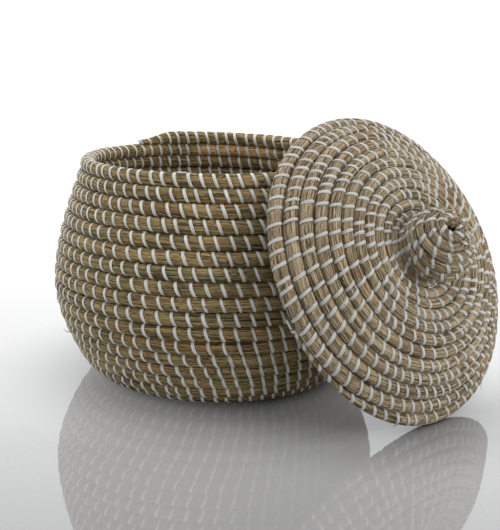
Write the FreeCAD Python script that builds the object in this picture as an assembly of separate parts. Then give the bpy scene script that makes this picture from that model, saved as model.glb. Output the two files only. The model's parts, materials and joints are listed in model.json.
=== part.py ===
import FreeCAD, Part
import math
import os

os.makedirs("parts", exist_ok=True)

# ---------------------------------------------------------------- driving dimensions, millimetres
COIL_D = 10.0          # thickest that a seagrass coil gets
COIL_GAP = 0.5         # free space left between neighbouring turns of a coil
BASE_FLAT = 0.35       # how far the base coils are pressed flat where they stand
SEAM_D = 1.8           # plastic binding, shown as a cord lying in the groove between two turns
SEAM_CLEAR = 0.06      # free space between the binding and each of the two turns beside it

# The coils really are spirals. Each full turn is modelled as a closed ring, halfway along that turn.
# Basket coil, counted in turns from its cut end at the rim: (turn, radius, height) of its centre line
BASKET = (
    (0, 103.0, 176.9),
    (2, 108.3, 156.3),
    (4, 115.2, 135.1),
    (6, 121.2, 113.6),
    (8, 125.3, 92.5),
    (10, 126.1, 71.2),
    (12, 121.4, 49.9),
    (14, 112.7, 29.9),
    (16, 101.3, 11.9),
    (17, 92.6, 6.1),
    (18, 82.0, COIL_D / 2 - BASE_FLAT),
    (19, 71.5, COIL_D / 2 - BASE_FLAT),
    (20, 61.0, COIL_D / 2 - BASE_FLAT),
    (22, 40.0, COIL_D / 2 - BASE_FLAT),
    (25, 8.0, COIL_D / 2 - BASE_FLAT),
)
WALL_TURNS = 17
BASE_TURNS = 8

# Lid coil, counted from its end at the lid's edge: (turn, radius, height above the edge)
LID = (
    (0, 115.85, 0.0),
    (2, 99.2, 14.6),
    (4, 82.9, 26.4),
    (6, 66.2, 33.9),
    (8, 49.1, 37.2),
    (9.5, 36.9, 37.4),
    (10.5, 29.0, 36.2),
    (11.5, 21.4, 36.4),
    (12.5, 19.6, 43.0),
    (13.5, 23.0, 49.3),
    (14.5, 23.2, 56.7),
    (15.5, 20.9, 63.5),
    (16.5, 16.5, 69.4),
    (17.5, 10.6, 73.6),
    (18, 7.2, 75.0),
)
DOME_TURNS = 11
KNOB_TURNS = 7

# Where the lid leans: centre of its edge, and the way its knob points
LID_CENTRE = FreeCAD.Vector(123.1, -80.7, 105.65)
LID_AZIMUTH = -49.72
LID_ELEVATION = 28.19

CENTRE_STUB_D = 16.0   # tightly curled start of the basket's coil, in the middle of the base
CENTRE_STUB_H = 9.0
KNOB_START_D = 10.0    # tightly curled start of the lid's coil, at the top of the knob


# ---------------------------------------------------------------- helpers
def curve_through(stations):
    """Smooth half section of a coiled wall, with the turn number as its parameter."""
    curve = Part.BSplineCurve()
    points = [FreeCAD.Vector(radius, 0, height) for turn, radius, height in stations]
    turns = [turn for turn, radius, height in stations]
    curve.interpolate(Points=points, Parameters=turns)
    return curve


def coil_diameter(curve, turn):
    """The coil is as thick as the turns on both sides of it allow, and never thicker than COIL_D."""
    here = curve.value(turn)
    spacing = min((curve.value(turn + 1) - here).Length, (here - curve.value(turn - 1)).Length)
    return min(COIL_D, spacing - COIL_GAP)


def ring(place, diameter):
    """Round ring about +Z whose section is centred at the given radius and height."""
    return Part.makeTorus(place.x, diameter / 2, FreeCAD.Vector(0, 0, place.z))


def coil_turn(curve, number):
    """One turn of seagrass, at the middle of the stretch that it fills."""
    middle = number - 0.5
    return ring(curve.value(middle), coil_diameter(curve, middle))


def seam_turn(curve, side, number):
    """The binding in the groove between a turn and the next one, on the side that shows."""
    here = curve.value(number - 0.5)
    there = curve.value(number + 0.5)
    across = there - here
    half = across.Length / 2
    out = FreeCAD.Vector(-across.z, 0, across.x) * (side / across.Length)
    reach = max(coil_diameter(curve, number - 0.5), coil_diameter(curve, number + 0.5)) / 2
    reach += SEAM_D / 2 + SEAM_CLEAR
    return ring((here + there) * 0.5 + out * math.sqrt(reach * reach - half * half), SEAM_D)


def lean(shape):
    """Carry the lid from its own upright position to where it leans."""
    azimuth = math.radians(LID_AZIMUTH)
    elevation = math.radians(LID_ELEVATION)
    normal = FreeCAD.Vector(math.cos(azimuth) * math.cos(elevation),
                            math.sin(azimuth) * math.cos(elevation),
                            math.sin(elevation))
    level = FreeCAD.Vector(-math.sin(azimuth), math.cos(azimuth), 0)
    turn = FreeCAD.Rotation(level, normal.cross(level), normal, "ZXY")
    shape.Placement = FreeCAD.Placement(LID_CENTRE, turn).multiply(shape.Placement)
    return shape


def save(name, solids):
    """One STEP file for each node."""
    shape = solids[0] if len(solids) == 1 else Part.makeCompound(solids)
    shape.exportStep(os.path.join("parts", name + ".step"))


# ---------------------------------------------------------------- basket
basket_curve = curve_through(BASKET)
room_above_floor = Part.makeBox(400, 400, 400, FreeCAD.Vector(-200, -200, 0))

for number in range(1, WALL_TURNS + 1):
    save("wall_coil_%02d" % number, [coil_turn(basket_curve, number)])

for number in range(1, BASE_TURNS + 1):
    turn_of_base = coil_turn(basket_curve, WALL_TURNS + number)
    save("base_coil_%02d" % number, [turn_of_base.common(room_above_floor)])

save("base_coil_start", [Part.makeCylinder(CENTRE_STUB_D / 2, CENTRE_STUB_H)])

save("wall_binding", [seam_turn(basket_curve, 1, n) for n in range(1, WALL_TURNS)])
save("base_binding", [seam_turn(basket_curve, 1, n)
                      for n in range(WALL_TURNS, WALL_TURNS + BASE_TURNS)])

# ---------------------------------------------------------------- lid
lid_curve = curve_through(LID)

for number in range(1, DOME_TURNS + 1):
    save("lid_coil_%02d" % number, [lean(coil_turn(lid_curve, number))])

for number in range(1, KNOB_TURNS + 1):
    save("knob_coil_%02d" % number, [lean(coil_turn(lid_curve, DOME_TURNS + number))])

knob_top = lid_curve.value(DOME_TURNS + KNOB_TURNS)
save("knob_coil_start", [lean(Part.makeSphere(KNOB_START_D / 2, FreeCAD.Vector(0, 0, knob_top.z)))])

save("lid_binding", [lean(seam_turn(lid_curve, -1, n)) for n in range(1, DOME_TURNS + 1)])
save("knob_binding", [lean(seam_turn(lid_curve, -1, n))
                      for n in range(DOME_TURNS + 1, DOME_TURNS + KNOB_TURNS)])
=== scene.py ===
import json
import math

import bpy
import numpy as np
from mathutils import Matrix, Vector


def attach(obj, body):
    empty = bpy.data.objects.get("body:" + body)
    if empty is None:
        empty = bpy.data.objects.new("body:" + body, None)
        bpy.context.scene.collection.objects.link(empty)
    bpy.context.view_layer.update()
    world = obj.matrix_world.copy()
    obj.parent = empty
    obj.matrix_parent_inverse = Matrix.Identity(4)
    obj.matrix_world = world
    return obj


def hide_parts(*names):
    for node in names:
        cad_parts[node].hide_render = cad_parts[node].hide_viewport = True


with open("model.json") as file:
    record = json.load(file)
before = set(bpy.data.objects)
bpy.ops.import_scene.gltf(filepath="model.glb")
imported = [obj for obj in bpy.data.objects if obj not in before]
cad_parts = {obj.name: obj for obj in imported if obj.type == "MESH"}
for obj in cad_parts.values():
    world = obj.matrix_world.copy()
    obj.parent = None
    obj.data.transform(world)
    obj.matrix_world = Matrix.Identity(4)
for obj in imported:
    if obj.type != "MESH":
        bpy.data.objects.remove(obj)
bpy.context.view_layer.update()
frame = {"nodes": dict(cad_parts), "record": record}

rng = np.random.default_rng(11)
MM = 0.001
TAU = 2 * math.pi
NODES = frame["nodes"]

# ------------------------------------------------------------------ sizes, in metres
# turns are full turns of a coil, counted from its free end inward

# the coils
RIM_END = math.radians(131.3)      # where the basket's coil ends at the rim, seen from above
EDGE_END = math.radians(191.9)     # where the lid's coil ends, round the lid from its level diameter
PAST_BASE = 0.62                   # turns that the basket's coil goes on past its last ring, into the middle
PAST_KNOB = 0.80                   # and the lid's coil, at the top of the knob
RIM_THIN = (0.050, 0.40)           # turns over which the basket's coil gets thin at its free end, and how thin
EDGE_THIN = (0.22, 0.22)           # and the lid's
MIDDLE_THIN = (0.55, 0.62)         # and both at their inner end
SMALLEST_RING = 1.5 * MM           # no turn is closer to its axis than this
COIL_GAP = 0.12 * MM               # how much a coil's radius is less than half the spacing of its turns
SQUARENESS = 2.4                   # power of a coil's cross section, for which 2 is round
BEFORE, AFTER, FINE = 0.6, 1.2, 1 / 240   # turns that the centre line is worked out past its ends, and its step

# the knob sits askew on the lid
KNOB_BEND = (12.0, 16.0)           # turns over which the lean comes on
KNOB_LEAN = math.radians(19)
KNOB_WAY = math.radians(130)       # which way it leans, round the lid from its level diameter
KNOB_PIVOT = 57 * MM               # height over the bottom of the lid that it leans about

# the stalks
STEP = 2.0 * MM                    # spacing of the rings that a coil's mesh is made of
AROUND = 60                        # points around a coil
STRANDS = 20                       # stalks that show around a coil
USUAL_RADIUS = 5.2 * MM            # of a coil
PINCH, PINCH_REACH = 0.62 * MM, 1.7 * MM   # how deep the strip draws the stalks in, and how far along that is felt
BULGE = 0.22 * MM                  # how far the stalks stand out between two wraps
CAP = (0.02, 0.5, 0.86)            # radii of the rings that close a coil's end, as parts of the coil's
PALE_TURNS = ((1.075, 1.20),)      # turns between which the basket's stalks are paler
PALE_EASE = 0.015                  # turns over which they get so

# the strip
STRIP_W = 2.35 * MM                # width of the basket's strip
LID_STRIP_W = 2.5 * MM             # width of the lid's strip
STRIP_T = 0.45 * MM                # thickness of both
STRIP_LEAN = 3.6 * MM              # how far a stitch runs along the coil while it crosses the outside
BACK_LEAN = 3.0 * MM               # and while it crosses the inside
WRAP_POINTS = 22                   # points along one wrap of strip
SUNK = 0.955                       # where the strip's underside lies, as a part of the coil's radius
STRIP_SECTION = (                  # across the strip and out of the coil, as parts of half its width and its thickness
    (-1.0, 0.0), (-0.97, 0.55), (-0.72, 0.92), (-0.24, 1.0),
    (0.24, 1.0), (0.72, 0.92), (0.97, 0.55), (1.0, 0.0), (0.0, -0.1))
TAIL_SECTION = ((-1, 0.0), (-0.9, 0.4), (0, 0.5), (0.9, 0.4), (1, 0.0), (0, -0.3))

# the stitches
WALL_TURNS, WALL_STITCHES = (0, 8, 12), (71.83, 71.83, 72.35)   # stitches in a turn of the basket's wall
BASE_SPACING = 8.6 * MM            # how far apart the stitches on the base are
FIRST_STITCH = 0.7                 # where the basket's first stitch is, in stitches from the free end
LID_DRIFT = 1.0 * MM               # how far a lid stitch is ahead of the one it follows
LID_WIDEST = 13.6 * MM             # where two of them are further apart than this, one goes between
LID_FIRST_GAP = 7.0 * MM           # spacing of the stitches in the innermost turn
LID_LAST = 4 * MM                  # the last stitch is nearer to the free end than this
BASKET_SCATTER, LID_SCATTER = 0.5 * MM, 0.45 * MM   # how unevenly they are sewn

FLOOR_GAP = 0.15 * MM              # nothing reaches lower than this


# ------------------------------------------------------------------ the coils' centre lines, from the CAD
def closing_matrix():
    """Turns the leaning lid onto the basket's axis, as its joint does at its far limit."""
    joint = frame["record"]["behaviour"]["joints"][0]
    pivot = Vector(joint["pos_m"])
    angle = math.radians(joint["range_deg"][1])
    turn = Matrix.Rotation(angle, 4, Vector(joint["axis"]).normalized())
    return Matrix.Translation(pivot) @ turn @ Matrix.Translation(-pivot)


def vertices(name, matrix):
    """Points of a CAD node, moved by a matrix."""
    mesh = NODES[name].data
    co = np.empty(len(mesh.vertices) * 3, np.float32)
    mesh.vertices.foreach_get("co", co)
    m = np.array(matrix)
    return co.reshape(-1, 3).astype(float) @ m[:3, :3].T + m[:3, 3]


def spline(x, y, at):
    """Natural cubic spline through (x, y), carried on straight past both ends."""
    n, h = len(x), np.diff(x)
    m, rhs = np.zeros((n, n)), np.zeros(n)
    m[0, 0] = m[-1, -1] = 1
    for i in range(1, n - 1):
        m[i, i - 1:i + 2] = h[i - 1], 2 * (h[i - 1] + h[i]), h[i]
        rhs[i] = 6 * ((y[i + 1] - y[i]) / h[i] - (y[i] - y[i - 1]) / h[i - 1])
    c = np.linalg.solve(m, rhs)
    k = np.clip(np.searchsorted(x, at) - 1, 0, n - 2)
    inside = np.clip(at, x[0], x[-1])
    p, q, w = x[k + 1] - inside, inside - x[k], h[k]
    out = (c[k] * p ** 3 + c[k + 1] * q ** 3) / (6 * w)
    out = out + (y[k] / w - c[k] * w / 6) * p + (y[k + 1] / w - c[k + 1] * w / 6) * q
    first = (y[1] - y[0]) / h[0] - h[0] * (2 * c[0] + c[1]) / 6
    last = (y[-1] - y[-2]) / h[-1] + h[-1] * (c[-2] + 2 * c[-1]) / 6
    before = np.where(at < x[0], first * (at - x[0]), 0)
    after = np.where(at > x[-1], last * (at - x[-1]), 0)
    return out + before + after


def eased(k, most=1.0):
    """Goes smoothly from 0 to most while k goes from 0 to 1."""
    return most * k * k * (3 - 2 * k)


class Coil:
    """One long spiral coil through the CAD's rings, upright on the basket's axis.

    start: where its free end is, round the axis.     sense: which way round it goes.
    side: 1 where its outside is away from the axis.  past: turns that it goes on past its last ring.
    thin: length and thinness of its free end.        tilt: how its last turns sit askew.
    """

    def __init__(self, names, leaning, start, sense, side, past, thin, strip_width, tilt=None, pale=()):
        self.leaning, self.start, self.sense, self.side = leaning, start, sense, side
        self.turns, self.thin, self.strip_width = len(names) + past, thin, strip_width
        self.tilt, self.pale = tilt, pale
        radii, heights = [], []
        for name in names:
            v = vertices(name, CLOSE if leaning else Matrix.Identity(4))
            r = np.hypot(v[:, 0], v[:, 1])
            radii.append((r.max() + r.min()) / 2)
            heights.append((v[:, 2].max() + v[:, 2].min()) / 2)
        middles = np.arange(len(names)) + 0.5
        self.grid = np.arange(-BEFORE, len(names) + AFTER, FINE)
        self.r = np.maximum(spline(middles, np.array(radii), self.grid), SMALLEST_RING)
        self.h = spline(middles, np.array(heights), self.grid)
        self.arc = self.lengths()

    def lengths(self):
        """Arc length from the free end at each turn of the grid."""
        az = self.sense * TAU * self.grid
        p = np.stack([self.r * np.cos(az), self.r * np.sin(az), self.h], -1)
        d = np.linalg.norm(np.diff(p, axis=0), axis=1)
        s = np.concatenate([[0], np.cumsum(d)])
        return s - np.interp(0.0, self.grid, s)

    def s_of(self, t):
        """Arc length from the free end at turn t."""
        return np.interp(t, self.grid, self.arc)

    def t_of(self, s):
        """Turn at arc length s from the free end."""
        return np.interp(s, self.arc, self.grid)

    def at(self, t):
        """Radius and height of the centre line at turn t."""
        return np.interp(t, self.grid, self.r), np.interp(t, self.grid, self.h)

    def lean(self, v, t, pivot):
        """Turns directions (pivot 0) or points (pivot 1) by as much as the coil sits askew at turn t."""
        if self.tilt is None:
            return v
        first, full, angle, towards, height = self.tilt
        a = eased(np.clip((t - first) / (full - first), 0, 1), angle)[:, None]
        axis = np.array([-math.sin(towards), math.cos(towards), 0.0])
        v = v - np.array([0, 0, height]) * pivot
        along = (v @ axis)[:, None] * axis
        v = along + (v - along) * np.cos(a) + np.cross(axis, v) * np.sin(a)
        return v + np.array([0, 0, height]) * pivot

    def point_at(self, t, az):
        r, h = self.at(t)
        return self.lean(np.stack([r * np.cos(az), r * np.sin(az), h], -1), t, 1)

    def frame_at(self, t):
        """Points of the centre line, the way out of the wall, the way across the wall to the next turn in, and half
        the spacing of the turns."""
        az = self.start + self.sense * TAU * t
        across = self.point_at(np.minimum(t + 0.5, self.grid[-1]), az) - self.point_at(t - 0.5, az)
        space = np.linalg.norm(across, axis=-1)
        round_it = self.lean(np.stack([-np.sin(az), np.cos(az), np.zeros_like(az)], -1), t, 0)
        across -= np.sum(across * round_it, axis=-1)[:, None] * round_it
        across /= np.linalg.norm(across, axis=-1)[:, None]
        return self.point_at(t, az), self.side * np.cross(across, round_it), across, space / 2

    def ahead(self, t, step):
        """From the point at turn t to the one a little further in."""
        return self.frame_at(np.array([t + step]))[0][0] - self.frame_at(np.array([t]))[0][0]


def numbered(prefix):
    return sorted(n for n in NODES if n.startswith(prefix) and n[len(prefix):].isdigit())


WALL, BASE = numbered("wall_coil_"), numbered("base_coil_")
DOME, KNOB = numbered("lid_coil_"), numbered("knob_coil_")
CLOSE = closing_matrix()
OPEN = CLOSE.inverted()
lid_axis = OPEN.to_3x3() @ Vector((0, 0, 1))
level = CLOSE.to_3x3() @ Vector((0, 0, 1)).cross(lid_axis).normalized()
level_way = math.atan2(level.y, level.x)
lid_bottom = min(vertices(DOME[0], CLOSE)[:, 2])
knob_tilt = (*KNOB_BEND, KNOB_LEAN, level_way + KNOB_WAY, lid_bottom + KNOB_PIVOT)
basket = Coil(WALL + BASE, False, RIM_END, -1, 1, PAST_BASE, RIM_THIN, STRIP_W, pale=PALE_TURNS)
lid = Coil(DOME + KNOB, True, level_way + EDGE_END, 1, -1, PAST_KNOB, EDGE_THIN, LID_STRIP_W, tilt=knob_tilt)


# ------------------------------------------------------------------ where the stitches are
def counted_stitches(coil, per_turn, first):
    """Arc lengths of evenly spread stitches, so many to each turn."""
    step = np.diff(coil.grid, prepend=coil.grid[0])
    count = np.cumsum(per_turn(coil.grid) * step)
    count -= np.interp(0, coil.grid, count)
    last = int(np.interp(coil.turns, coil.grid, count))
    return coil.s_of(np.interp(np.arange(last) + first, count, coil.grid))


def followed_stitches(coil, drift, widest, gap):
    """Arc lengths of stitches sewn from the middle outward: each follows one of the turn before, and where these
    have spread too far apart one more goes between."""
    places = [coil.s_of(coil.turns)]
    while places[-1] > coil.s_of(coil.turns - 1):
        places.append(places[-1] - gap)
    follow, recent, smallest = 0, gap, 0.45 * gap
    while places[-1] > LID_LAST:
        ahead = coil.s_of(coil.t_of(places[follow + 1]) - 1) + drift
        step = places[-1] - ahead
        if step < smallest:
            follow += 1
            continue
        if step > widest:
            step /= 2
        else:
            follow += 1
        recent = 0.6 * step + 0.4 * recent
        places.append(places[-1] - recent)
    return np.array(places)


def unevenly(places, amount):
    """Stitches are never quite where they should be."""
    return np.sort(places + rng.normal(0, amount, len(places)))[::-1]


def basket_count(t):
    """Stitches in a turn: nearly as many all down the wall, and fewer on the base, where the turns get shorter."""
    return np.minimum(np.interp(t, WALL_TURNS, WALL_STITCHES), TAU * basket.at(t)[0] / BASE_SPACING)


basket.stitches = unevenly(counted_stitches(basket, basket_count, FIRST_STITCH), BASKET_SCATTER)
lid.stitches = unevenly(followed_stitches(lid, LID_DRIFT, LID_WIDEST, LID_FIRST_GAP), LID_SCATTER)


def lean_of(phi, gap):
    """How far along the coil the strip has gone when it is at angle phi around it: across the outside, a hidden
    step in the groove, and back across the inside."""
    u = (1 + np.sin(phi)) / 2
    outside = STRIP_LEAN * u ** 1.35
    inside = gap - BACK_LEAN * u
    return np.where(phi <= math.pi / 2, outside, inside)


# ------------------------------------------------------------------ meshes
def make_mesh(name, verts, faces):
    """A smooth mesh in the scene; all its faces have the same number of corners."""
    mesh = bpy.data.meshes.new(name)
    mesh.vertices.add(len(verts))
    mesh.vertices.foreach_set("co", np.asarray(verts, np.float32).ravel())
    faces = np.asarray(faces, np.int32)
    n = faces.shape[1]
    mesh.loops.add(len(faces) * n)
    mesh.loops.foreach_set("vertex_index", faces.ravel())
    mesh.polygons.add(len(faces))
    mesh.polygons.foreach_set("loop_start", np.arange(0, len(faces) * n, n, dtype=np.int32))
    mesh.polygons.foreach_set("use_smooth", np.full(len(faces), True))
    mesh.update()
    mesh.validate()
    obj = bpy.data.objects.new(name, mesh)
    bpy.context.scene.collection.objects.link(obj)
    return obj


def vector_attribute(obj, name, values):
    a = obj.data.attributes.new(name, "FLOAT_VECTOR", "POINT")
    a.data.foreach_set("vector", np.asarray(values, np.float32).ravel())


def grid_faces(rows, cols):
    """Quads of a tube made of rows rings with cols points each."""
    i, j = np.meshgrid(np.arange(rows - 1), np.arange(cols), indexing="ij")
    k = (j + 1) % cols
    a = i * cols
    return np.stack([a + j, a + k, a + cols + k, a + cols + j], -1).reshape(-1, 4)


def settle(points, leaning):
    """Puts the lid's points where the lid leans, and keeps all points off the floor."""
    if leaning:
        m = np.array(OPEN)
        points = points @ m[:3, :3].T + m[:3, 3]
    points[:, 2] = np.maximum(points[:, 2], FLOOR_GAP)
    return points


def slow_noise(s, period, seed):
    """Smooth random values along a length."""
    g = np.random.default_rng(seed)
    knots = np.arange(s.min() - 2 * period, s.max() + 3 * period, period)
    values = g.normal(0, 1, len(knots))
    x = np.interp(s, knots, np.arange(len(knots)))
    i = np.floor(x).astype(int)
    f = eased(x - i)
    return values[i] * (1 - f) + values[np.minimum(i + 1, len(values) - 1)] * f


def taper(coil, t, point, half):
    """The last stretch before a coil's free end gets thin and lies against the turn inside it."""
    length, thinnest = coil.thin
    k = thinnest + eased(np.clip(t / length, 0, 1), 1 - thinnest)
    inner, _, _, inner_half = coil.frame_at(t + 1)
    gap = point - inner
    full = np.linalg.norm(gap, axis=1)
    wanted = inner_half + half * k
    moved = inner + gap * (wanted / full)[:, None]
    return np.where((t < length)[:, None], moved, point), half * np.where(t < length, k, 1.0)


def stations(coil, t):
    """What frame_at gives at turns t, with the coil thinner at both of its ends."""
    point, out, across, half = coil.frame_at(t)
    point, half = taper(coil, t, point, half)
    length, thinnest = MIDDLE_THIN
    half = half * np.interp(t, [coil.turns - length, coil.turns], [1.0, thinnest])
    return point, out, across, half


def station(coil, t):
    """The same at a single turn."""
    return (v[0] for v in stations(coil, np.array([t])))


def squarish(phi):
    """Coils press each other a little square: the radius at angle phi, against a round coil's."""
    n = SQUARENESS
    return (np.abs(np.cos(phi)) ** n + np.abs(np.sin(phi)) ** n) ** (-1 / n)


def stalk_radii(coil, s, phi, twist, seed):
    """Radii along and around a coil, against its own: drawn in under the strip, and ridged by the stalks."""
    order = np.sort(coil.stitches)
    shift = lean_of(np.where(phi > math.pi * 1.5, phi - TAU, phi), np.median(np.diff(order)))
    strand = np.random.default_rng(seed)
    phase = strand.uniform(0, TAU, 3)
    radii = np.empty((len(s), len(phi)))
    for j, angle in enumerate(phi):
        centres = order - shift[j]
        i = np.clip(np.searchsorted(centres, s), 1, len(centres) - 1)
        d = np.minimum(np.abs(s - centres[i - 1]), np.abs(s - centres[i]))
        width = centres[i] - centres[i - 1]
        belly = np.clip(d / (0.5 * np.maximum(width, 6 * MM)), 0, 1)
        pinch = -PINCH * np.exp(-(d / PINCH_REACH) ** 2) + BULGE * np.sin(belly * math.pi / 2)
        a = angle + twist
        ridge = 0.17 * np.sin(STRANDS * a + phase[0] + 2.5 * slow_noise(s, 40 * MM, seed + 5))
        ridge += 0.15 * np.sin((STRANDS - 7) * a + phase[1] + 3 * slow_noise(s, 25 * MM, seed + 7))
        radii[:, j] = 0.97 * squarish(angle) + (pinch + ridge * MM) / USUAL_RADIUS
    radii += 0.015 * slow_noise(s, 35 * MM, seed + 3)[:, None]
    radii += 0.010 * strand.normal(0, 1, radii.shape)
    return radii


def bundle(name, coil, t0, t1, seed):
    """A stretch of coil: many stalks side by side, drawn in where the strip goes round."""
    s0, s1 = coil.s_of(t0), coil.s_of(t1)
    s = np.linspace(s0, s1, max(8, int(round((s1 - s0) / STEP))))
    s = np.concatenate([[s0] * len(CAP), s, [s1] * len(CAP)])
    closing = np.ones(len(s))
    closing[:len(CAP)], closing[-len(CAP):] = CAP, CAP[::-1]
    t = coil.t_of(s)
    point, out, across, half = stations(coil, t)
    phi = np.arange(AROUND) * TAU / AROUND
    twist = slow_noise(s, 60 * MM, seed + 1) * 0.5
    radius = (half - COIL_GAP)[:, None] * stalk_radii(coil, s, phi, twist, seed) * closing[:, None]
    ring = np.cos(phi)[None, :, None] * out[:, None, :] + np.sin(phi)[None, :, None] * across[:, None, :]
    verts = (point[:, None, :] + radius[:, :, None] * ring).reshape(-1, 3)
    faces = grid_faces(len(s), AROUND)
    if coil.side * coil.sense > 0:
        faces = faces[:, ::-1]
    obj = make_mesh(name, settle(verts, coil.leaning), faces)
    angle = np.tile(phi, len(s)) + np.repeat(twist, AROUND)
    r = radius.ravel()
    vector_attribute(obj, "strand", np.stack([np.repeat(s, AROUND), r * np.cos(angle), r * np.sin(angle)], -1))
    pale = np.zeros(len(s))
    for first, last in coil.pale:
        pale = np.maximum(pale, np.clip(np.minimum(t - first, last - t) / PALE_EASE, 0, 1))
    vector_attribute(obj, "pale", np.repeat(pale, AROUND)[:, None] * np.ones(3))
    return obj


def ribbon(name, coil, t0, t1, seed):
    """The strip, wrapped round and round the coil towards its free end."""
    g = np.random.default_rng(seed)
    lo, hi = coil.s_of(t0), coil.s_of(t1)
    s = np.array([x for x in coil.stitches if lo - 1 * MM < x <= hi])
    if lo < 20 * MM:
        s = s[s > 6 * MM]    # the very tip of the free end has none
    gaps = np.append(s[:-1] - s[1:], 9 * MM)
    phi = np.linspace(-math.pi / 2, 1.5 * math.pi, WRAP_POINTS, endpoint=False)
    lean = np.stack([lean_of(phi, gap) for gap in gaps])
    lean_scale = g.normal(1, 0.10, len(s))[:, None]
    u = (1 + np.sin(phi)) / 2
    lean = lean + (lean_scale - 1) * STRIP_LEAN * (u * (1 - u) * 2)[None]
    angle = np.tile(phi, len(s))
    point, out, across, half = stations(coil, coil.t_of((s[:, None] - lean).ravel()))
    normal = np.cos(angle)[:, None] * out + np.sin(angle)[:, None] * across
    path = point + normal * ((half - COIL_GAP) * SUNK * squarish(angle))[:, None]
    tangent = np.gradient(path, axis=0)
    tangent /= np.linalg.norm(tangent, axis=1)[:, None]
    sideways = np.cross(normal, tangent)
    sideways /= np.linalg.norm(sideways, axis=1)[:, None]
    w = coil.strip_width / 2 * np.repeat(g.normal(1, 0.05, len(s)), WRAP_POINTS)
    rows = [path + sideways * (a * w)[:, None] + normal * (b * STRIP_T) for a, b in STRIP_SECTION]
    verts = np.stack(rows, 1).reshape(-1, 3)
    n = len(STRIP_SECTION)
    obj = make_mesh(name, settle(verts, coil.leaning), grid_faces(len(path), n))
    run = np.concatenate([[0], np.cumsum(np.linalg.norm(np.diff(path, axis=0), axis=1))])
    cross = np.array([a for a, b in STRIP_SECTION]) * coil.strip_width / 2
    strip = np.stack([np.repeat(run, n), np.tile(cross, len(path)), np.zeros(len(verts))], -1)
    vector_attribute(obj, "strip", strip)
    return obj


def fibre_mesh(name, paths, widths, leaning):
    """Thin tapering stalks, each along its own path of points."""
    corners = 4
    count = paths.shape[1]
    tangent = np.gradient(paths, axis=1)
    tangent /= np.linalg.norm(tangent, axis=2)[..., None]
    side = np.cross(tangent, np.array([0.31, 0.17, 0.93]))
    side /= np.linalg.norm(side, axis=2)[..., None]
    other = np.cross(tangent, side)
    thin = np.clip(1.15 - np.linspace(0, 1, count) ** 2, 0.15, 1)[None, :] * widths[:, None]
    rings = []
    for k in range(corners):
        a = TAU * k / corners
        rings.append(paths + thin[..., None] * (math.cos(a) * side + 0.5 * math.sin(a) * other))
    verts = np.stack(rings, 2).reshape(-1, 3)
    one = grid_faces(count, corners)
    faces = (one[None] + (np.arange(len(paths)) * count * corners)[:, None, None]).reshape(-1, 4)
    obj = make_mesh(name, settle(verts, leaning), faces)
    # each stalk takes its colour from a place of its own in the seagrass
    along = np.repeat(np.linspace(0, 0.02, count)[None], len(paths), 0) + np.arange(len(paths))[:, None] * 0.37
    tint = np.repeat((np.arange(len(paths)) * 0.0131)[:, None], count, 1)
    strand = np.stack([along, tint, tint * 0.7], -1)
    vector_attribute(obj, "strand", np.repeat(strand[:, :, None], corners, 2).reshape(-1, 3))
    return obj


def loose_fibres(name, coil, t0, t1, count, seed, longest=6.5, thick=1.0):
    """Short broken ends that stand off the outside of a coil, at most so many millimetres long."""
    g = np.random.default_rng(seed)
    s = g.uniform(coil.s_of(t0), coil.s_of(t1), count)
    point, out, across, half = stations(coil, coil.t_of(s))
    phi = g.uniform(-1.35, 1.35, count)
    normal = np.cos(phi)[:, None] * out + np.sin(phi)[:, None] * across
    along = np.cross(out, across) * np.where(g.random(count) < 0.5, 1, -1)[:, None]
    root = point + normal * (half * 0.93)[:, None]
    rise = g.uniform(0.05, 0.60, count) ** 1.5
    bend = g.normal(0, 0.35, (count, 3))
    length = g.uniform(2.0, longest, count) * MM
    k = np.linspace(0, 1, 6)[None, :, None]
    way = along[:, None, :] + normal[:, None, :] * rise[:, None, None] + bend[:, None, :] * k * 0.5
    paths = root[:, None, :] + way * k * length[:, None, None]
    paths += normal[:, None, :] * (0.25 * MM * np.sin(math.pi * k))
    return fibre_mesh(name, paths, g.uniform(0.10, 0.24, count) * thick * MM, coil.leaning)


def cut_end(name, coil, t, sense, count, seed, reach):
    """Stalks of uneven length that stick out where a coil ends."""
    g = np.random.default_rng(seed)
    point, out, across, half = station(coil, t)
    along = np.cross(out, across)
    along *= sense * np.sign(np.dot(along, coil.ahead(t, 0.01)))
    a = g.uniform(0, TAU, count)
    r = half * 0.85 * np.sqrt(g.random(count))
    spoke = np.cos(a)[:, None] * out + np.sin(a)[:, None] * across
    inside = 1.5 * MM
    root = point + r[:, None] * spoke - along * inside
    spread = spoke * 0.25 + g.normal(0, 0.12, (count, 3))
    length = g.uniform(0.3, 1.0, count) * reach + inside
    k = np.linspace(0, 1, 5)[None, :, None]
    paths = root[:, None, :] + (along[None, None, :] + spread[:, None, :] * k) * k * length[:, None, None]
    return fibre_mesh(name, paths, g.uniform(0.25, 0.5, count) * MM, coil.leaning)


def hook(name, coil, t, phi, size, width):
    """One stiff fibre that stands straight out and curls up at its tip."""
    point, out, across, half = station(coil, t)
    normal = math.cos(phi) * out + math.sin(phi) * across
    a = np.linspace(0, 1.9, 12)
    bend = 0.8
    reach = np.where(a < bend, a, bend + np.sin(a - bend) * 0.75) * size
    rise = np.where(a < bend, -0.10 * a, -0.08 + (1 - np.cos(a - bend)) * 0.7) * size
    path = point + normal * (half * 0.9) + reach[:, None] * normal + rise[:, None] * np.array([0, 0, 1.0])
    return fibre_mesh(name, path[None], np.array([width]), coil.leaning)


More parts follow.
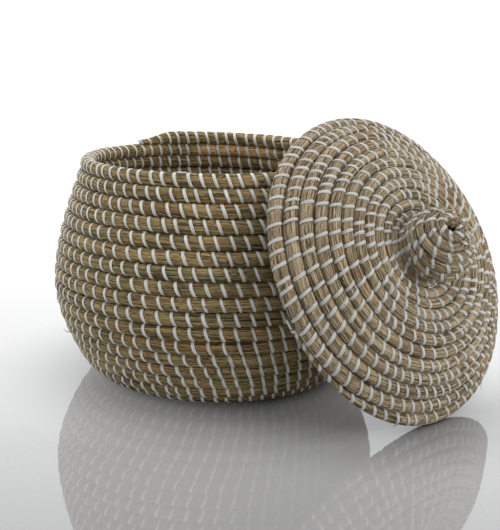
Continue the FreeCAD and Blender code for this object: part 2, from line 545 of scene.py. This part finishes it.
def flat_bit(name, coil, t, phi, slant, length, width, lift, attribute):
    """A short flat end that lies on a coil, at angle phi around it: slant is its angle from the coil's own
    direction, lift how far its far end stands up, and attribute what its material reads."""
    point, out, across, half = station(coil, t)
    ahead = coil.ahead(t, 0.002)
    ahead /= np.linalg.norm(ahead)
    normal = math.cos(phi) * out + math.sin(phi) * across
    way = math.cos(slant) * ahead + math.sin(slant) * np.cross(normal, ahead)
    side = np.cross(normal, way)
    k = np.linspace(0, 1, 7)[:, None]
    root = point + normal * (half * squarish(phi) + 0.15 * MM)
    middle = root + way * (k - 0.5) * length + normal * lift * k ** 2
    middle -= normal * ((k - 0.5) * math.sin(slant) * length) ** 2 / (2 * half)   # follows the coil's roundness
    wide = (1 - 0.25 * k ** 6) * width / 2
    rows = np.stack([middle + side * a * wide + normal * b * 0.5 * MM for a, b in TAIL_SECTION], 1)
    n = len(TAIL_SECTION)
    closed = [row.mean(1, keepdims=True).repeat(n, 1) for row in (rows[:1], rows[-1:])]
    rows = np.concatenate([closed[0], rows, closed[1]])
    obj = make_mesh(name, settle(rows.reshape(-1, 3), coil.leaning), grid_faces(len(rows), n))
    cross = np.array([a for a, b in TAIL_SECTION]) * width / 2
    run = np.linspace(0, length, len(rows)) + t
    values = np.stack([np.repeat(run, n), np.tile(cross, len(rows)), np.zeros(len(rows) * n)], -1)
    vector_attribute(obj, attribute, values)
    return obj


# ------------------------------------------------------------------ materials
def material(name):
    m = bpy.data.materials.new(name)
    m.use_nodes = True
    return m, m.node_tree, m.node_tree.nodes["Principled BSDF"]


def from_mesh(tree, name, output):
    """What an attribute of the mesh says."""
    n = tree.nodes.new("ShaderNodeAttribute")
    n.attribute_name = name
    return n.outputs[output]


def noise(tree, vector, scale, detail=2.0, rough=0.5):
    """Noise with a scale of its own each way."""
    stretch = tree.nodes.new("ShaderNodeMapping")
    stretch.inputs["Scale"].default_value = scale
    tree.links.new(vector, stretch.inputs["Vector"])
    n = tree.nodes.new("ShaderNodeTexNoise")
    n.inputs["Scale"].default_value = 1.0
    n.inputs["Detail"].default_value = detail
    n.inputs["Roughness"].default_value = rough
    tree.links.new(stretch.outputs["Vector"], n.inputs["Vector"])
    return n.outputs["Fac"]


def ramp(tree, fac, *stops):
    n = tree.nodes.new("ShaderNodeValToRGB")
    elements = n.color_ramp.elements
    while len(elements) < len(stops):
        elements.new(0.5)
    for element, (place, colour) in zip(elements, stops):
        element.position = place
        element.color = (*colour, 1.0)
    tree.links.new(fac, n.inputs["Fac"])
    return n.outputs["Color"]


def mix(tree, fac, a, b, blend="MIX"):
    n = tree.nodes.new("ShaderNodeMix")
    n.data_type = "RGBA"
    n.blend_type = blend
    for value, socket in ((fac, n.inputs[0]), (a, n.inputs[6]), (b, n.inputs[7])):
        if isinstance(value, (int, float)):
            socket.default_value = value
        elif isinstance(value, tuple):
            socket.default_value = (*value, 1.0)
        else:
            tree.links.new(value, socket)
    return n.outputs[2]


def mapped(tree, value, lo, hi, to_lo=0.0, to_hi=1.0):
    """to_lo where the value is lo, to_hi where it is hi, and in proportion between."""
    n = tree.nodes.new("ShaderNodeMapRange")
    for k, v in (("From Min", lo), ("From Max", hi), ("To Min", to_lo), ("To Max", to_hi)):
        n.inputs[k].default_value = v
    tree.links.new(value, n.inputs["Value"])
    return n.outputs["Result"]


def bump(tree, bsdf, height, strength, distance):
    n = tree.nodes.new("ShaderNodeBump")
    n.inputs["Strength"].default_value = strength
    n.inputs["Distance"].default_value = distance
    tree.links.new(height, n.inputs["Height"])
    tree.links.new(n.outputs["Normal"], bsdf.inputs["Normal"])


PALE_STALK = (0.60, 0.375, 0.175)
STALK_SHADE = ((0.36, (0.30, 0.28, 0.26)), (0.48, (0.95, 0.95, 0.95)), (0.62, (1.45, 1.42, 1.35)))
# painted shade in the splits between stalks, and where there is none
SPLIT_PAINTED_SHADE, NO_SHADE = (0.16, 0.13, 0.11), (1.0, 1.0, 1.0)
YELLOWED = (0.50, 0.47, 0.39)


def seagrass(name, dark, mid, light, tan, red, split_at):
    """Dry stalks lying side by side: long thin streaks of several colours, with painted shade in the splits between
    them.
    """
    m, tree, bsdf = material(name)
    v = from_mesh(tree, "strand", "Vector")
    fine = noise(tree, v, (40, 1500, 1500), 3, 0.6)
    stalk = noise(tree, v, (28, 560, 560))
    broad = noise(tree, v, (9, 130, 130), 1)
    rare = noise(tree, v, (13, 330, 330), 0)
    split = noise(tree, v, (24, 900, 900), 1)
    base = ramp(tree, stalk, (0.36, dark), (0.46, mid), (0.54, light), (0.66, tan))
    base = mix(tree, mapped(tree, broad, 0.40, 0.62), base, ramp(tree, fine, (0.36, mid), (0.62, tan)))
    base = mix(tree, mapped(tree, rare, 0.64, 0.72, 0.0, 0.8), base, red)
    base = mix(tree, mapped(tree, from_mesh(tree, "pale", "Fac"), 0.0, 1.0, 0.0, 0.8), base, PALE_STALK)
    base = mix(tree, 0.9, base, ramp(tree, fine, *STALK_SHADE), "MULTIPLY")
    # painted shade in the splits between the stalks
    splits = ramp(tree, split, (split_at, SPLIT_PAINTED_SHADE), (split_at + 0.06, NO_SHADE))
    base = mix(tree, 0.85, base, splits, "MULTIPLY")
    tree.links.new(base, bsdf.inputs["Base Color"])
    bsdf.inputs["Roughness"].default_value = 0.60
    bsdf.inputs["Specular IOR Level"].default_value = 0.35
    bump(tree, bsdf, mix(tree, 0.5, fine, split), 0.8, 0.9 * MM)
    return m


def strip_plastic(name, groove, body, ridge):
    """Off-white flat strip with fine lines along it."""
    m, tree, bsdf = material(name)
    v = from_mesh(tree, "strip", "Vector")
    lines = noise(tree, v, (30, 1900, 1))
    cloud = noise(tree, v, (70, 200, 1))
    base = ramp(tree, lines, (0.36, groove), (0.48, body), (0.62, ridge))
    base = mix(tree, mapped(tree, cloud, 0.40, 0.70, 0.0, 0.30), base, YELLOWED)
    tree.links.new(base, bsdf.inputs["Base Color"])
    bsdf.inputs["Roughness"].default_value = 0.42
    bump(tree, bsdf, lines, 0.5, 0.3 * MM)
    return m


basket_grass = seagrass(
    "basket_seagrass", dark=(0.070, 0.054, 0.020), mid=(0.160, 0.126, 0.052), light=(0.225, 0.198, 0.092),
    tan=(0.350, 0.245, 0.110), red=(0.300, 0.168, 0.066), split_at=0.36)
lid_grass = seagrass(
    "lid_seagrass", dark=(0.165, 0.126, 0.075), mid=(0.235, 0.186, 0.116), light=(0.300, 0.246, 0.158),
    tan=(0.385, 0.310, 0.200), red=(0.300, 0.190, 0.104), split_at=0.385)
basket_plastic = strip_plastic(
    "plastic_strip", groove=(0.46, 0.45, 0.41), body=(0.66, 0.65, 0.61), ridge=(0.77, 0.77, 0.74))
# painted shade: the same plastic as the basket's strip, in the same slot, given darker colours on the lid
lid_plastic_shaded = strip_plastic(
    "lid_plastic_strip", groove=(0.34, 0.335, 0.31), body=(0.47, 0.465, 0.445), ridge=(0.56, 0.56, 0.545))


# ------------------------------------------------------------------ the pieces
def piece(obj, kind, replaced=()):
    body, slot, mat = kind
    obj.data.materials.append(mat)
    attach(obj, body)
    if replaced:
        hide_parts(*replaced)


# body, slot and material
BASKET_STALKS = ("basket", "basket_seagrass", basket_grass)
BASKET_STRIP = ("basket", "plastic_strip", basket_plastic)
LID_STALKS = ("lid", "lid_seagrass", lid_grass)
LID_STRIP = ("lid", "plastic_strip", lid_plastic_shaded)
STRIPS = (BASKET_STRIP, LID_STRIP)

# the coils: first and last turn, seed, kind, and the CAD nodes whose place they take
WALL_END, DOME_END = float(len(WALL)), float(len(DOME))
for name, coil, first, last, seed, kind, nodes in (
        ("wall_seagrass", basket, 0.0, WALL_END, 21, BASKET_STALKS, WALL),
        ("base_seagrass", basket, WALL_END, basket.turns, 22, BASKET_STALKS, BASE + ["base_coil_start"]),
        ("wall_strip", basket, 0.0, WALL_END, 31, BASKET_STRIP, ["wall_binding"]),
        ("base_strip", basket, WALL_END, basket.turns, 32, BASKET_STRIP, ["base_binding"]),
        ("dome_seagrass", lid, 0.0, DOME_END, 23, LID_STALKS, DOME),
        ("knob_seagrass", lid, DOME_END, lid.turns, 24, LID_STALKS, KNOB + ["knob_coil_start"]),
        ("dome_strip", lid, 0.0, DOME_END, 33, LID_STRIP, ["lid_binding"]),
        ("knob_strip", lid, DOME_END, lid.turns, 34, LID_STRIP, ["knob_binding"])):
    shape = ribbon if kind in STRIPS else bundle
    piece(shape(name, coil, first, last, seed), kind, nodes)

# loose ends of stalk
piece(loose_fibres("wall_fibres", basket, 0.0, WALL_END, 900, 41), BASKET_STALKS)
piece(loose_fibres("dome_fibres", lid, 0.0, DOME_END, 420, 42, 5.0), LID_STALKS)
piece(loose_fibres("knob_fibres", lid, DOME_END, lid.turns, 170, 43, 5.0), LID_STALKS)
piece(loose_fibres("apex_fibres", lid, lid.turns - 2.3, lid.turns, 150, 47, 7.0, 1.9), LID_STALKS)
piece(cut_end("rim_end_stalks", basket, 0.0, -1, 26, 44, 3.5 * MM), BASKET_STALKS)
piece(cut_end("edge_end_stalks", lid, 0.0, -1, 16, 45, 3.0 * MM), LID_STALKS)
piece(cut_end("knob_start_stalks", lid, lid.turns - 0.02, 1, 22, 46, 3.0 * MM), LID_STALKS)
piece(hook("wall_hook", basket, 12.79, math.radians(-35), 6.2 * MM, 0.60 * MM), BASKET_STALKS)

# short flat ends: turn, angle around the coil, slant, then length, width and lift in millimetres, and kind
for name, coil, t, phi, slant, length, width, lift, kind in (
        ("wall_tail", basket, 4.688, -1.05, 0.9, 2.4, 1.9, 0.5, BASKET_STRIP),
        ("rim_flake", basket, 0.656, -1.25, 0.05, 7.0, 2.4, 0.3, BASKET_STRIP),
        ("wall_splinter", basket, 8.622, 0.15, -0.35, 6.5, 1.0, 1.2, BASKET_STALKS),
        ("wall_splinter_low", basket, 8.636, 0.55, 0.30, 5.5, 0.9, 0.8, BASKET_STALKS),
        ("apex_tail", lid, 17.33, 0.1, 1.2, 8.5, 3.0, 0.8, LID_STRIP),
        ("edge_tail", lid, 0.012, -0.3, 1.45, 8.0, 2.2, 0.8, LID_STRIP),
        ("edge_tail_loose", lid, 0.004, -0.9, 0.25, 7.0, 2.0, 1.5, LID_STRIP)):
    attribute = "strip" if kind in STRIPS else "strand"
    piece(flat_bit(name, coil, t, phi, slant, length * MM, width * MM, lift * MM, attribute), kind)


# ------------------------------------------------------------------ floor, light and camera
FLOOR_SIZE, FLOOR_BACK = 12.0, 3.5         # the floor's side, and how far its middle is behind the basket
FLOOR_WHITE, FLOOR_GRAIN = 0.43, 1.04      # its colour, and how much lighter its specks are
FLOOR_GLOSS = 0.20                         # how much of it is a mirror
PAINTED_SHADE_REACH, PAINTED_SHADE_POWER = 0.075, 1.15   # how far the painted shade round where things stand reaches, and how steeply it falls
# from one place to another along the floor's own X or Y, from its middle
PAINTED_SHADE_LEFT, PAINTED_SHADE_SHARE = (-0.15, 0.04), (0.30, 1.0)   # less of that painted shade towards the left
FRONT, FRONT_SHADE = (-3.80, -3.62), (0.80, 1.0)           # painted shade: the floor darker towards the front
GLOW, GLOW_STRENGTH = (-3.68, -3.17), 1.05                 # and a back that runs up into the bright backdrop


def stage_floor():
    """Glossy white table that is brighter towards the back, where it runs up into the white backdrop, with painted
    shade in its colour and glow round where things stand, and towards its front.
    """
    bpy.ops.mesh.primitive_grid_add(
        size=FLOOR_SIZE, x_subdivisions=24, y_subdivisions=24, location=(0, FLOOR_BACK, 0))
    floor = bpy.context.object
    floor.name = "floor"
    m, tree, bsdf = material("floor_gloss")
    place = tree.nodes.new("ShaderNodeTexCoord").outputs["Object"]
    axes = tree.nodes.new("ShaderNodeSeparateXYZ")
    tree.links.new(place, axes.inputs[0])

    # painted shade: occlusion darkens the floor's colour and its glow round where the basket and lid stand, less so
    # towards the left
    near = tree.nodes.new("ShaderNodeAmbientOcclusion")
    near.inputs["Distance"].default_value = PAINTED_SHADE_REACH
    shade = tree.nodes.new("ShaderNodeMath")
    shade.operation = "POWER"
    shade.inputs[1].default_value = PAINTED_SHADE_POWER
    tree.links.new(near.outputs["AO"], shade.inputs[0])
    share = mapped(tree, axes.outputs["X"], *PAINTED_SHADE_LEFT, *PAINTED_SHADE_SHARE)
    painted_contact_shade = mix(tree, share, (1.0, 1.0, 1.0), shade.outputs[0])

    specks = noise(tree, place, (300, 300, 300))
    grain = ramp(tree, specks, (0.3, (FLOOR_WHITE,) * 3), (0.7, (FLOOR_WHITE * FLOOR_GRAIN,) * 3))
    # painted shade: the floor's colour darker towards the front
    front = mapped(tree, axes.outputs["Y"], *FRONT, *FRONT_SHADE)
    table = mix(tree, 1.0, mix(tree, 1.0, grain, front, "MULTIPLY"), painted_contact_shade, "MULTIPLY")
    tree.links.new(table, bsdf.inputs["Base Color"])
    bsdf.inputs["Roughness"].default_value = 0.5
    bsdf.inputs["Specular IOR Level"].default_value = 0.0

    mirror = tree.nodes.new("ShaderNodeBsdfGlossy")
    mirror.inputs["Roughness"].default_value = 0.012
    mirror.inputs["Color"].default_value = (0.96, 0.98, 1.0, 1)
    glossy = tree.nodes.new("ShaderNodeMixShader")
    glossy.inputs[0].default_value = FLOOR_GLOSS
    tree.links.new(bsdf.outputs[0], glossy.inputs[1])
    tree.links.new(mirror.outputs[0], glossy.inputs[2])

    glow = tree.nodes.new("ShaderNodeEmission")
    tree.links.new(mapped(tree, painted_contact_shade, 0.0, 1.0, 0.0, GLOW_STRENGTH), glow.inputs["Strength"])
    whole = tree.nodes.new("ShaderNodeMixShader")
    tree.links.new(mapped(tree, axes.outputs["Y"], *GLOW), whole.inputs[0])
    tree.links.new(glossy.outputs[0], whole.inputs[1])
    tree.links.new(glow.outputs[0], whole.inputs[2])
    tree.links.new(whole.outputs[0], tree.nodes["Material Output"].inputs["Surface"])
    floor.data.materials.append(m)


def area(name, place, target, size, power):
    """A soft light that the floor doesn't mirror."""
    data = bpy.data.lights.new(name, "AREA")
    data.shape = "RECTANGLE"
    data.size, data.size_y = size
    data.energy = power
    obj = bpy.data.objects.new(name, data)
    bpy.context.scene.collection.objects.link(obj)
    obj.location = place
    obj.rotation_euler = (Vector(target) - Vector(place)).to_track_quat("-Z", "Y").to_euler()
    obj.visible_glossy = False


BACKDROP, ROOM = 2.0, 0.56                        # how bright the backdrop is, and the rest of the room
BACKDROP_Y, BACKDROP_Z = (0.66, 0.86), (0.56, 0.30)   # directions between which the backdrop begins


def studio():
    """White room: a bright backdrop low behind the basket, and softer light from everywhere else."""
    world = bpy.data.worlds.new("studio")
    bpy.context.scene.world = world
    world.use_nodes = True
    tree = world.node_tree
    axes = tree.nodes.new("ShaderNodeSeparateXYZ")
    tree.links.new(tree.nodes.new("ShaderNodeTexCoord").outputs["Generated"], axes.inputs[0])
    both = tree.nodes.new("ShaderNodeMath")
    both.operation = "MULTIPLY"
    tree.links.new(mapped(tree, axes.outputs["Y"], *BACKDROP_Y), both.inputs[0])
    tree.links.new(mapped(tree, axes.outputs["Z"], *BACKDROP_Z), both.inputs[1])
    background = tree.nodes["Background"]
    background.inputs["Color"].default_value = (1.0, 1.0, 1.0, 1.0)
    tree.links.new(mapped(tree, both.outputs[0], 0.0, 1.0, ROOM, BACKDROP), background.inputs["Strength"])


# the camera stands where the photograph was taken from
CAM_PLACE = Vector((0, -0.8613, 0.2931))
CAM_RIGHT, CAM_DOWN, CAM_ROLL = 0.0300, 0.2367, 0.0263   # radians that it looks right and down, and is rolled
FRAME_SIDE, FOCAL_PIXELS, PHOTO_HEIGHT = 36, 1085.0, 530   # the frame's longer side in millimetres is its height


def stage_camera():
    forward = Vector((math.sin(CAM_RIGHT) * math.cos(CAM_DOWN),
                      math.cos(CAM_RIGHT) * math.cos(CAM_DOWN),
                      -math.sin(CAM_DOWN)))
    right = Vector((math.cos(CAM_RIGHT), -math.sin(CAM_RIGHT), 0))
    up = right.cross(forward)
    rolled_right = right * math.cos(CAM_ROLL) + up * math.sin(CAM_ROLL)
    rolled_up = up * math.cos(CAM_ROLL) - right * math.sin(CAM_ROLL)
    data = bpy.data.cameras.new("camera")
    data.sensor_width = FRAME_SIDE
    data.lens = FRAME_SIDE * FOCAL_PIXELS / PHOTO_HEIGHT
    data.clip_start, data.clip_end = 0.05, 50
    camera = bpy.data.objects.new("camera", data)
    bpy.context.scene.collection.objects.link(camera)
    turn = Matrix((rolled_right, rolled_up, -forward)).transposed()
    camera.matrix_world = Matrix.Translation(CAM_PLACE) @ turn.to_4x4()
    bpy.context.scene.camera = camera
    bpy.context.scene.view_settings.view_transform = "Standard"


stage_floor()
area("top", (0.10, 0.15, 1.5), (0.05, 0, 0.1), (1.3, 1.3), 13)
area("right", (1.5, -0.95, 0.5), (0.12, -0.05, 0.1), (1.0, 1.0), 16)
area("left", (-1.45, -0.05, 0.7), (0, 0, 0.1), (0.9, 1.2), 7.6)
studio()
stage_camera()
